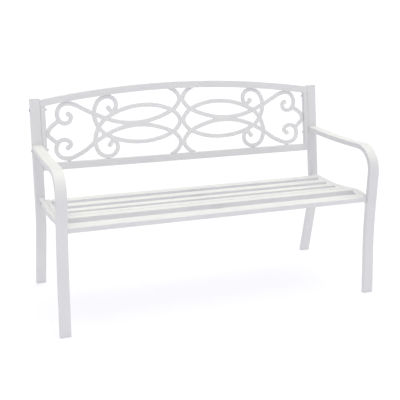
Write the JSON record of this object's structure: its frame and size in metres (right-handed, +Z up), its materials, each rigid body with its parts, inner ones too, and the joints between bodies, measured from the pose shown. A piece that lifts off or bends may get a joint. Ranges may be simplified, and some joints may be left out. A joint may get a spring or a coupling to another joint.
{
  "type": "garden bench",
  "caption": "White tubular steel garden bench with a scrollwork back under an arched top rail, a contoured slatted seat and curved flat-tube armrests.",
  "frame": {"origin": "on the ground, under the middle of the bounding box", "axes": "+Z up; the front faces -Y; +X is to the right when facing the front of the bench"},
  "size_m": [1.2778, 0.5836, 0.8238],
  "materials": {
    "coat": "white powder coat, satin, over steel tube and a cast scroll panel",
    "plug": "white moulded plastic",
    "zinc": "white-coated steel fasteners"
  },
  "bodies": {
    "root": {"back_bolt_lower_left": "zinc", "back_bolt_lower_right": "zinc", "back_bolt_upper_left": "zinc", "back_bolt_upper_right": "zinc", "back_bottom_rail": "coat", "back_nut_lower_left": "zinc", "back_nut_lower_right": "zinc", "back_nut_upper_left": "zinc", "back_nut_upper_right": "zinc", "back_scroll_panel": "coat", "back_side_bar_left": "coat", "back_side_bar_right": "coat", "back_top_rail": "coat", "foot_cap_front_left": "plug", "foot_cap_front_right": "plug", "foot_cap_rear_left": "plug", "foot_cap_rear_right": "plug", "front_leg_arm_left": "coat", "front_leg_arm_right": "coat", "post_cap_left": "plug", "post_cap_right": "plug", "rear_leg_post_left": "coat", "rear_leg_post_right": "coat", "seat_bolt_front_left": "zinc", "seat_bolt_front_right": "zinc", "seat_bolt_rear_left": "zinc", "seat_bolt_rear_right": "zinc", "seat_center_bar": "coat", "seat_end_bar_left": "coat", "seat_end_bar_right": "coat", "seat_nut_front_left": "zinc", "seat_nut_front_right": "zinc", "seat_nut_rear_left": "zinc", "seat_nut_rear_right": "zinc", "seat_side_rail_left": "coat", "seat_side_rail_right": "coat", "seat_slat_1": "coat", "seat_slat_2": "coat", "seat_slat_3": "coat", "seat_slat_4": "coat", "seat_slat_5": "coat", "seat_slat_6": "coat"}
  },
  "joints": []
}
